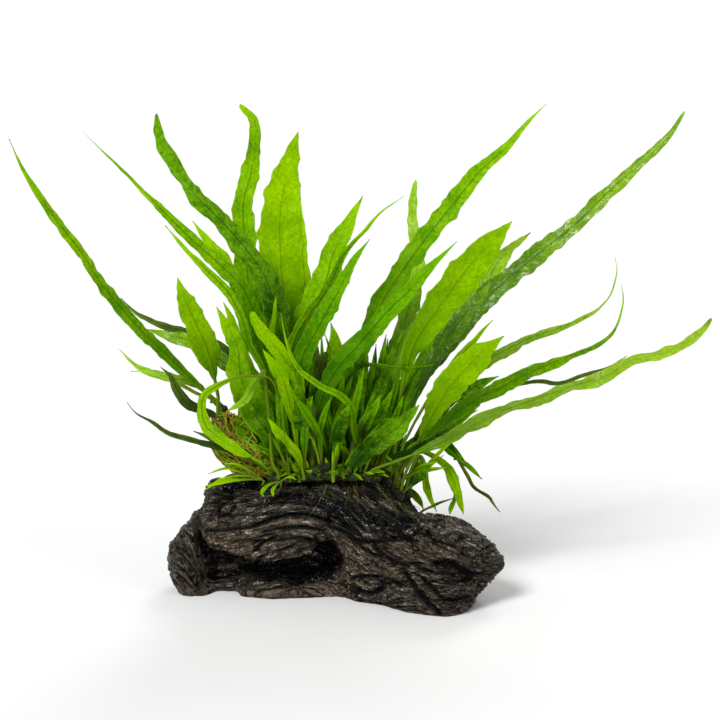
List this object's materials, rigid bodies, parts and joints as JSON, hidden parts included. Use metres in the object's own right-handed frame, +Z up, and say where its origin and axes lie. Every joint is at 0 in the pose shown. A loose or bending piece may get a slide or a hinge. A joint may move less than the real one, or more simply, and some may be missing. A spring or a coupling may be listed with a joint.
{
  "type": "java fern on driftwood",
  "caption": "Weathered aquarium driftwood with a hollow and a creeping java fern: long narrow fronds fan out from a rhizome along its top.",
  "frame": {"origin": "on the driftwood's flat underside, under the fern's rhizome", "axes": "+X along the wood from its forked arm to its pointed end, -Y towards the front, +Z up"},
  "size_m": [0.296, 0.104, 0.2163],
  "materials": {
    "wet_driftwood": "wet, weathered grain",
    "rhizome": "scaly green-brown stem",
    "roots": "matt brown fibres",
    "leaf_bright": "wet bright green leaf",
    "leaf_mid": "wet green leaf",
    "leaf_dark": "wet dark green leaf",
    "leaf_wet": "green leaf with pale wet sheen",
    "leaf_pale": "pale yellow-green leaf",
    "leaf_brown": "old leaf with brown edges"
  },
  "bodies": {
    "root": {"driftwood_left_arm": "wet_driftwood", "driftwood_log": "wet_driftwood", "frond_centre_back": "leaf_bright", "frond_centre_behind_bright": "leaf_bright", "frond_centre_broad": "leaf_bright", "frond_centre_brown_blunt": "leaf_brown", "frond_centre_crossing_thin": "leaf_dark", "frond_centre_dark_1": "leaf_dark", "frond_centre_dark_2": "leaf_mid", "frond_centre_dark_3": "leaf_dark", "frond_centre_glossy": "leaf_wet", "frond_centre_left_tall": "leaf_mid", "frond_centre_right_bright": "leaf_bright", "frond_centre_right_tall": "leaf_mid", "frond_centre_right_thin": "leaf_mid", "frond_far_left": "leaf_mid", "frond_front_arching": "leaf_wet", "frond_front_blunt": "leaf_bright", "frond_front_dark_broad": "leaf_dark", "frond_front_left_blunt": "leaf_bright", "frond_front_left_bright": "leaf_bright", "frond_front_rolled": "leaf_mid", "frond_hanging_1": "leaf_bright", "frond_hanging_2": "leaf_bright", "frond_hanging_3": "leaf_dark", "frond_left_arching": "leaf_pale", "frond_left_back_bright": "leaf_bright", "frond_left_brown_curved": "leaf_brown", "frond_left_brown_narrow": "leaf_brown", "frond_left_dark_broad": "leaf_dark", "frond_left_dark_low": "leaf_brown", "frond_left_dark_tall": "leaf_dark", "frond_left_folded_bright": "leaf_bright", "frond_left_grey_wet": "leaf_wet", "frond_left_low_thin": "leaf_pale", "frond_left_pale_thin": "leaf_pale", "frond_left_short_broad": "leaf_bright", "frond_left_small_drooping": "leaf_pale", "frond_left_wet_tall": "leaf_wet", "frond_on_the_wood": "leaf_mid", "frond_right_back_pale": "leaf_pale", "frond_right_broad_bright": "leaf_bright", "frond_right_bullate": "leaf_dark", "frond_right_crossing": "leaf_mid", "frond_right_curled_tongue": "leaf_bright", "frond_right_dark_narrow": "leaf_brown", "frond_right_dark_tall": "leaf_dark", "frond_right_folded_wet": "leaf_wet", "frond_right_front_bright": "leaf_bright", "frond_right_long_dark": "leaf_wet", "frond_right_low_dark": "leaf_dark", "frond_right_lower_1": "leaf_wet", "frond_right_lower_2": "leaf_mid", "frond_right_lowest": "leaf_mid", "frond_right_pale_back": "leaf_pale", "plantlet_front": "leaf_mid", "plantlet_left": "leaf_bright", "rhizome": "rhizome", "rhizome_rising_branch": "rhizome", "roots": "roots"}
  },
  "joints": []
}
